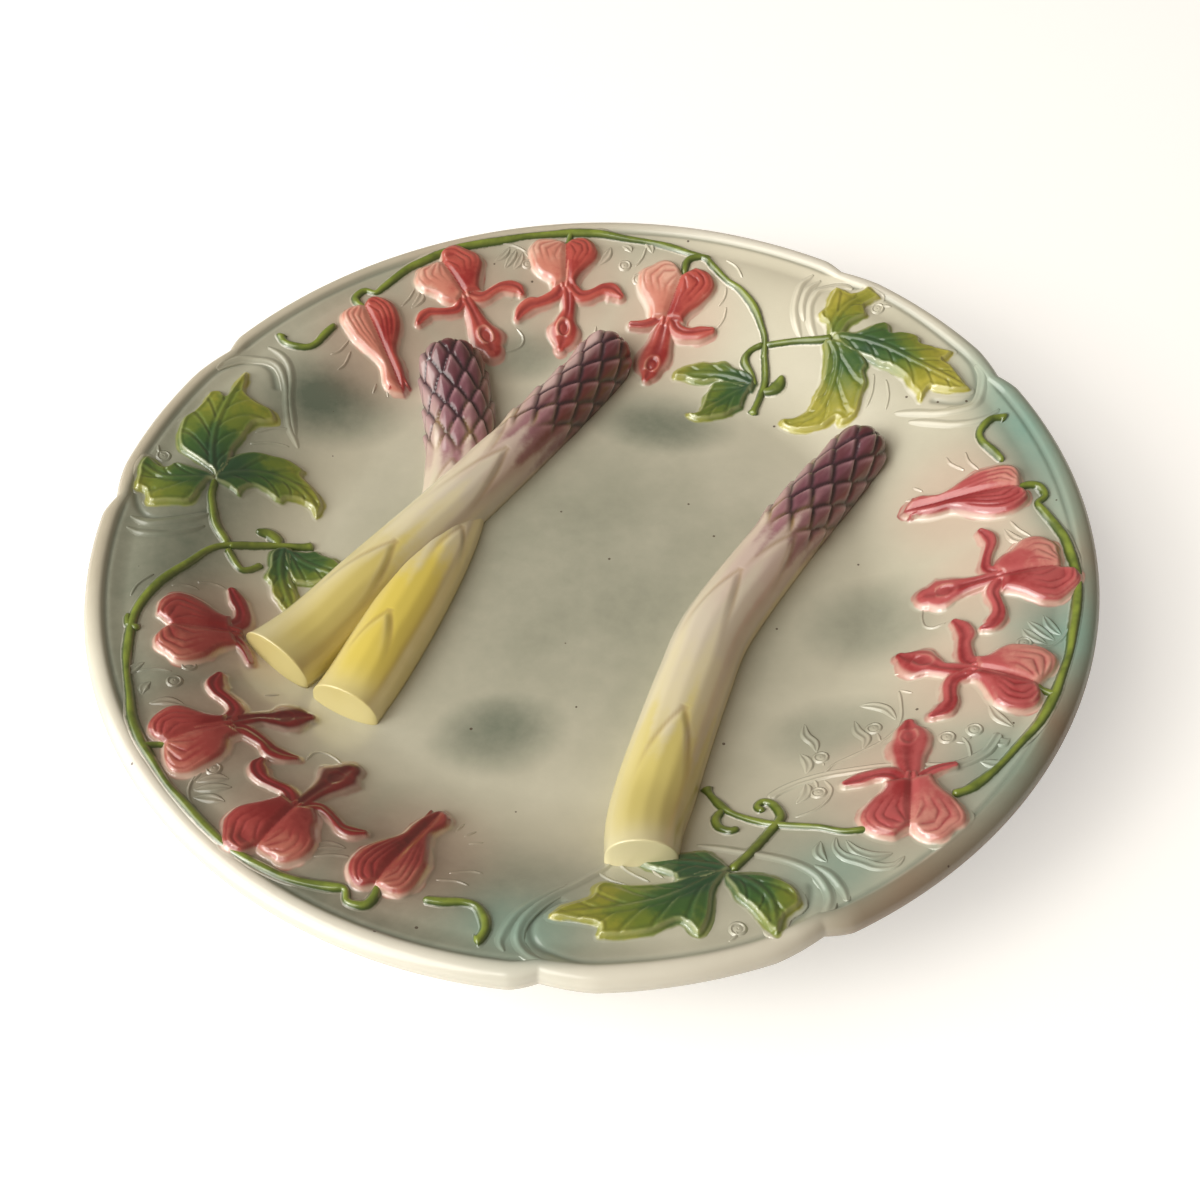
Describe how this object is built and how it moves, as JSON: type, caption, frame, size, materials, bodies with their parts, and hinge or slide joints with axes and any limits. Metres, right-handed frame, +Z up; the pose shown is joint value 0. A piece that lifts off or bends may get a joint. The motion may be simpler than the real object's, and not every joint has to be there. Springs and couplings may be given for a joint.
{
  "type": "asparagus plate",
  "caption": "Round glazed earthenware plate with asparagus spears, hanging flowers, leaves and vines in relief, on a low foot ring.",
  "frame": {"origin": "middle of the flat face of the foot ring, on the surface that the plate rests on", "axes": "+Z up, through the middle of the plate; the long crossed spears lie towards -X, the single spear towards +X"},
  "size_m": [0.245, 0.245, 0.0271],
  "materials": {
    "cream_glaze": "gloss",
    "foot_glaze": "gloss",
    "spear_glaze": "gloss",
    "crimson_glaze": "gloss",
    "vine_glaze": "gloss",
    "leaf_glaze": "gloss",
    "ridge_glaze": "gloss"
  },
  "bodies": {
    "root": {"plate_body": "cream_glaze", "foot_ring": "foot_glaze", "spear_under": "spear_glaze", "spear_over": "spear_glaze", "spear_right": "spear_glaze", "bud_top": "crimson_glaze", "bud_right": "crimson_glaze", "bud_left": "crimson_glaze", "flower_second_top": "crimson_glaze", "flower_second_right": "crimson_glaze", "flower_second_left": "crimson_glaze", "flower_third_top": "crimson_glaze", "flower_third_right": "crimson_glaze", "flower_third_left": "crimson_glaze", "flower_fourth_top": "crimson_glaze", "flower_fourth_right": "crimson_glaze", "flower_fourth_left": "crimson_glaze", "vine_top": "vine_glaze", "vine_right": "vine_glaze", "vine_left": "vine_glaze", "large_leaf_top": "leaf_glaze", "large_leaf_right": "leaf_glaze", "large_leaf_left": "leaf_glaze", "small_leaf_top": "leaf_glaze", "small_leaf_left": "leaf_glaze", "panel_border_top": "ridge_glaze", "panel_border_right": "ridge_glaze", "panel_border_left": "ridge_glaze"}
  },
  "joints": []
}
